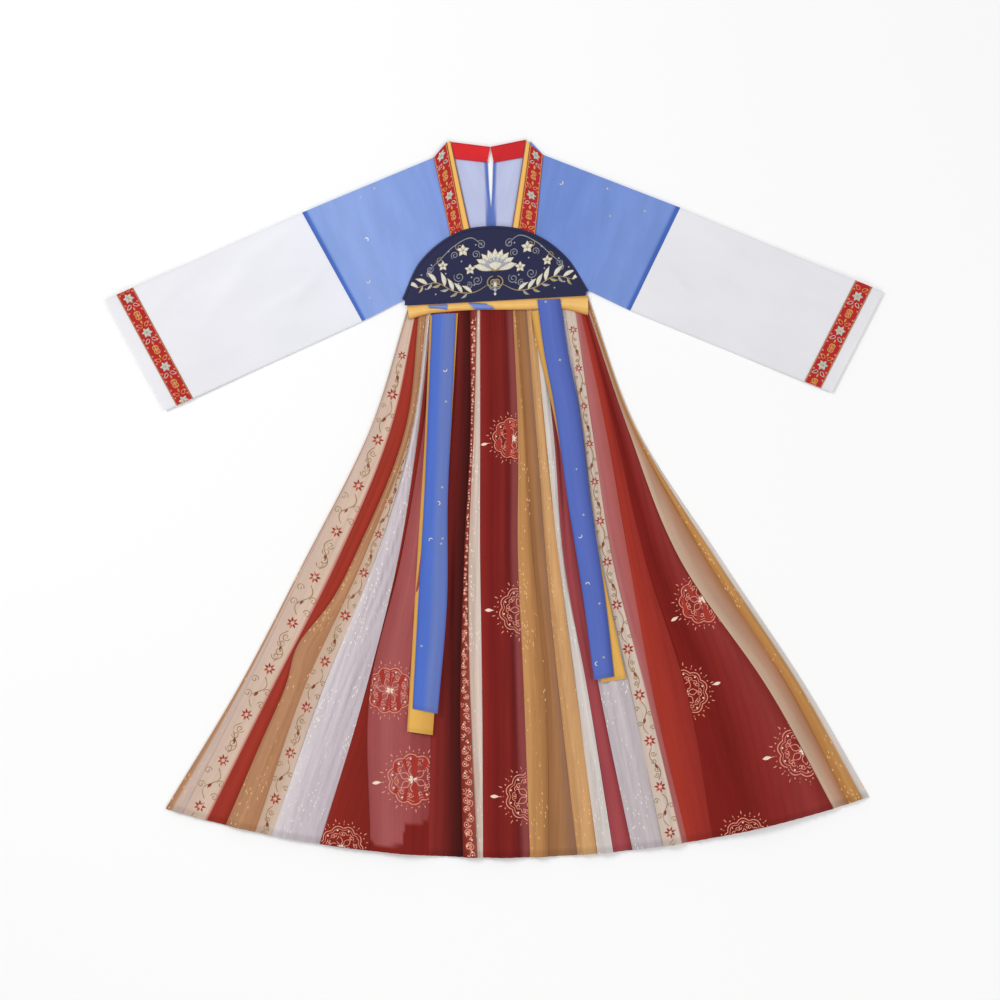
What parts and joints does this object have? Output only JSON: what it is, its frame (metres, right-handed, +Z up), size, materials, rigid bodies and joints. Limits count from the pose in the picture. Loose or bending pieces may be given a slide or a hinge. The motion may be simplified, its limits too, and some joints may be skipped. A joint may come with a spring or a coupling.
{
  "type": "hanfu robe laid flat",
  "caption": "Child's hanfu dress laid flat: blue short-sleeved bodice over white sleeves, half-moon chest panel, waist ties and a flared skirt of many strips.",
  "frame": {"origin": "on the surface the garment lies on, under the middle of its whole outline", "axes": "+Z up off that surface, through the cloth; +Y from the hem to the neck; +X along the sleeve span, to the right as seen from above with the neck at the top"},
  "size_m": [1.088, 1.0039, 0.0145],
  "materials": {
    "blue_chiffon": "sheer blue chiffon with a matt crepe face",
    "organza": "sheer white organza, crisp, soft sheen",
    "woven_ribbon": "red jacquard ribbon with silver and gold threads",
    "red_band": "plain red twill",
    "navy_satin": "navy satin, embroidered",
    "yellow_satin": "matt yellow satin",
    "blue_satin": "blue satin with a few foil prints",
    "tan_crinkle": "tan crinkled chiffon with a metal yarn",
    "floral_print": "beige chiffon with a flower print",
    "beige_chiffon": "plain beige chiffon over tan",
    "rust_chiffon": "rust red chiffon",
    "dark_chiffon": "dark red chiffon with gold line print",
    "rose_chiffon": "dusty rose chiffon over dark red",
    "white_crinkle": "silver-white crinkled chiffon",
    "mauve_chiffon": "brown chiffon in a fold"
  },
  "bodies": {
    "root": {"bodice_back_l": "blue_chiffon", "bodice_back_r": "blue_chiffon", "bodice_front_l": "blue_chiffon", "bodice_front_r": "blue_chiffon", "chest_panel": "navy_satin", "chest_panel_binding": "navy_satin", "collar_piping_l": "yellow_satin", "collar_piping_r": "yellow_satin", "collar_ribbon_l": "woven_ribbon", "collar_ribbon_r": "woven_ribbon", "cuff_ribbon_back_l": "woven_ribbon", "cuff_ribbon_back_r": "woven_ribbon", "cuff_ribbon_front_l": "woven_ribbon", "cuff_ribbon_front_r": "woven_ribbon", "neck_band_l": "red_band", "neck_band_r": "red_band", "skirt_back_1_tan": "tan_crinkle", "skirt_back_2_floral": "floral_print", "skirt_back_3_rust": "rust_chiffon", "skirt_back_4_white": "white_crinkle", "skirt_back_5_dark": "dark_chiffon", "skirt_back_6_white": "white_crinkle", "skirt_back_7_rust": "rust_chiffon", "skirt_back_8_floral": "floral_print", "skirt_back_9_tan": "tan_crinkle", "skirt_front_beige_1": "beige_chiffon", "skirt_front_dark_1": "dark_chiffon", "skirt_front_dark_2": "dark_chiffon", "skirt_front_dark_3": "dark_chiffon", "skirt_front_dark_4": "dark_chiffon", "skirt_front_floral_1": "floral_print", "skirt_front_floral_2": "floral_print", "skirt_front_floral_3": "floral_print", "skirt_front_floral_4": "floral_print", "skirt_front_mauve_1": "mauve_chiffon", "skirt_front_rose_1": "rose_chiffon", "skirt_front_rose_2": "rose_chiffon", "skirt_front_rose_3": "rose_chiffon", "skirt_front_rust_1": "rust_chiffon", "skirt_front_rust_2": "rust_chiffon", "skirt_front_tan_1": "tan_crinkle", "skirt_front_tan_2": "tan_crinkle", "skirt_front_tan_3": "tan_crinkle", "skirt_front_tan_4": "tan_crinkle", "skirt_front_tan_5": "tan_crinkle", "skirt_front_white_1": "white_crinkle", "skirt_front_white_2": "white_crinkle", "skirt_front_white_3": "white_crinkle", "skirt_front_white_4": "white_crinkle", "sleeve_l": "organza", "sleeve_r": "organza", "tie_left_blue": "blue_satin", "tie_left_yellow": "yellow_satin", "tie_right_blue": "blue_satin", "tie_right_yellow": "yellow_satin", "waist_band_back": "yellow_satin", "waist_band_front": "yellow_satin", "waist_twist_1": "blue_satin", "waist_twist_2": "blue_satin"}
  },
  "joints": []
}
